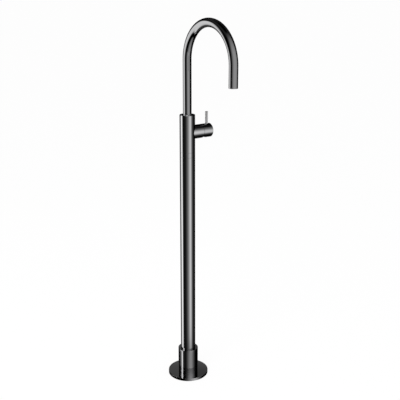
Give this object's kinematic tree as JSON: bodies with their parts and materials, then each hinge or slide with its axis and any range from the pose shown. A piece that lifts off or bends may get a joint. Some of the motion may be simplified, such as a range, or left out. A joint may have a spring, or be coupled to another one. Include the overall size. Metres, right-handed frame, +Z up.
{
  "type": "freestanding basin mixer",
  "caption": "Floor-standing basin mixer: tall round column on a flanged foot, swivelling gooseneck spout and a side knob with a pin lever.",
  "frame": {"origin": "centre of the foot on the floor, on the column's axis", "axes": "+Z up along the column, the spout points towards -Y, the valve and its lever are on +X"},
  "size_m": [0.156, 0.3183, 1.2237],
  "materials": {
    "dark_chrome": "polished gunmetal chrome, mirror bright",
    "lever_steel": "fine satin, a little lighter than the body",
    "zinc_steel": "zinc-plated",
    "stainless": "turned stainless steel",
    "raw_brass": "machined brass",
    "copper": "drawn copper tube",
    "black_rubber": "matt rubber",
    "white_ceramic": "lapped ceramic",
    "grey_plastic": "moulded acetal",
    "aerator_metal": "gunmetal-plated brass",
    "aerator_plastic": "moulded dark plastic"
  },
  "bodies": {
    "stand": {"floor_flange": "dark_chrome", "collar": "dark_chrome", "column_tube": "dark_chrome", "joint_ring": "dark_chrome", "mixer_body": "dark_chrome", "dome_cover": "dark_chrome", "base_plate": "zinc_steel", "foot_screws": "zinc_steel", "column_grub_screws": "zinc_steel", "spout_stop_screw": "zinc_steel", "column_foot": "raw_brass", "hot_inlet": "raw_brass", "cold_inlet": "raw_brass", "riser_nuts": "raw_brass", "riser_olives": "raw_brass", "cartridge_nut": "raw_brass", "hot_riser": "copper", "cold_riser": "copper", "base_gasket": "black_rubber", "collar_o_ring": "black_rubber", "joint_o_ring": "black_rubber", "port_seals": "black_rubber", "fixed_disc": "white_ceramic", "cartridge_base": "grey_plastic", "cartridge_housing": "grey_plastic", "glide_ring": "grey_plastic"},
    "spout": {"gooseneck": "dark_chrome", "spout_spigot": "raw_brass", "spigot_o_rings": "black_rubber", "aerator_housing": "aerator_metal", "aerator_insert": "aerator_plastic", "aerator_seal": "black_rubber"},
    "temperature_stage": {"cartridge_rotor": "grey_plastic", "pivot_pin": "stainless"},
    "handle": {"knob": "dark_chrome", "lever_rod": "lever_steel", "knob_grub_screw": "zinc_steel", "stem": "stainless"},
    "disc_stage": {"moving_disc": "white_ceramic", "disc_slider": "grey_plastic"}
  },
  "joints": [
    {"name": "spout_swivel", "type": "hinge", "parent": "stand", "child": "spout", "pos_m": [0, 0, 0.9], "axis": [0, 0, 1], "range_deg": [-60, 60]},
    {"name": "temperature_turn", "type": "hinge", "parent": "stand", "child": "temperature_stage", "pos_m": [0.042, 0, 0.86], "axis": [1, 0, 0], "range_deg": [-45, 45]},
    {"name": "flow_tilt", "type": "hinge", "parent": "temperature_stage", "child": "handle", "pos_m": [0.042, 0, 0.86], "axis": [0, 1, 0], "range_deg": [0, 25]},
    {"name": "disc_slide", "type": "slide", "parent": "temperature_stage", "child": "disc_stage", "axis": [0, 0, 1], "range_m": [0, 0.0043]}
  ],
  "couplings": [
    {"joint": "disc_slide", "follows": "flow_tilt", "m_per_rad": 0.00969}
  ]
}
